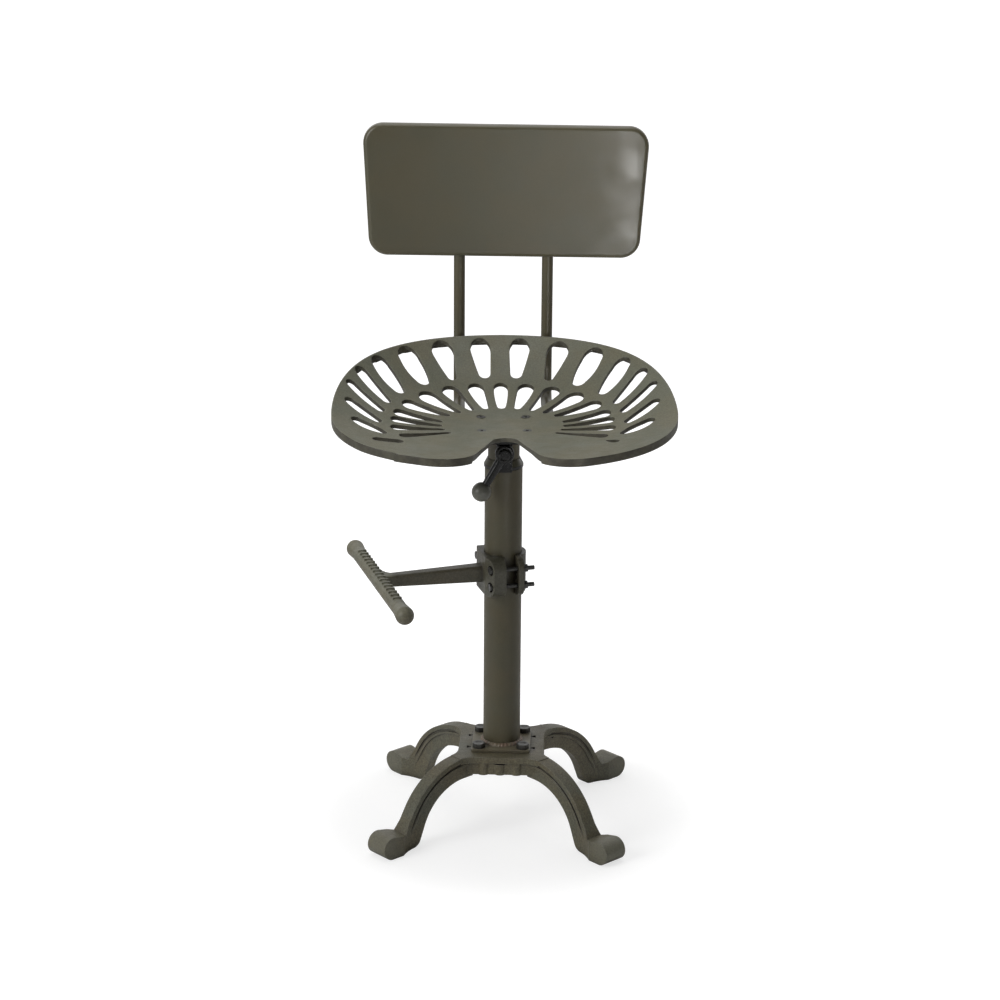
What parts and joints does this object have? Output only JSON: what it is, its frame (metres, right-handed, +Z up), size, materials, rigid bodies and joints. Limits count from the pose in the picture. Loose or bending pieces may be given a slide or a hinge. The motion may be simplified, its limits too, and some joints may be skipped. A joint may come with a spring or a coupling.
{
  "type": "tractor seat stool",
  "caption": "Stool with a perforated cast pan seat and backrest that swivel on a height-adjustable column, a clamped footrest and a cast base with curved legs.",
  "frame": {"origin": "on the floor, on the axis of the column", "axes": "+Z up along the column, -Y towards the front of the seat, +X to the right as seen from the front"},
  "size_m": [0.4563, 0.4058, 0.9311],
  "materials": {
    "cast_painted": "semi-matt warm grey paint over rough cast iron",
    "seat_painted": "satin dark warm grey paint over cast iron",
    "tube_painted": "satin warm grey paint on steel tube",
    "sheet_painted": "satin warm grey paint on pressed steel",
    "black_steel": "satin black finish",
    "fastener_steel": "dark satin finish",
    "bare_steel": "plain turned steel",
    "guide_plastic": "black nylon"
  },
  "bodies": {
    "base": {"base_casting": "cast_painted", "base_plate": "tube_painted", "plate_bolts": "fastener_steel", "plate_washers": "fastener_steel", "plate_nuts": "fastener_steel", "column_tube": "tube_painted", "top_collar": "black_steel", "lock_block": "black_steel", "collar_screws": "black_steel"},
    "lever": {"lock_screw": "bare_steel", "lock_lever": "black_steel", "lever_knob": "black_steel", "lever_cap": "black_steel"},
    "lift": {"stem_tube": "tube_painted", "stem_guide_ring": "guide_plastic", "stem_bush": "guide_plastic"},
    "seat": {"swivel_spindle": "bare_steel", "spindle_washer": "bare_steel", "spindle_nut": "bare_steel", "seat_bracket": "black_steel", "seat_pan": "seat_painted", "seat_screws": "fastener_steel", "back_rod_left": "tube_painted", "back_rod_right": "tube_painted", "backrest_panel": "sheet_painted"},
    "footrest": {"footrest_arm": "cast_painted", "clamp_cap": "cast_painted", "clamp_bolts": "fastener_steel", "clamp_washers": "fastener_steel", "clamp_nuts": "fastener_steel"}
  },
  "joints": [
    {"name": "seat_lift", "type": "slide", "parent": "base", "child": "lift", "axis": [0, 0, 1], "range_m": [0, 0.15]},
    {"name": "seat_swivel", "type": "hinge", "parent": "lift", "child": "seat", "pos_m": [0, 0, 0.545], "axis": [0, 0, 1], "continuous": true},
    {"name": "lever_turn", "type": "hinge", "parent": "base", "child": "lever", "pos_m": [0, -0.0385, 0.5345], "axis": [0, -1, 0], "range_deg": [-40, 100]},
    {"name": "footrest_height", "type": "slide", "parent": "base", "child": "footrest", "axis": [0, 0, 1], "range_m": [-0.19, 0.07]}
  ]
}
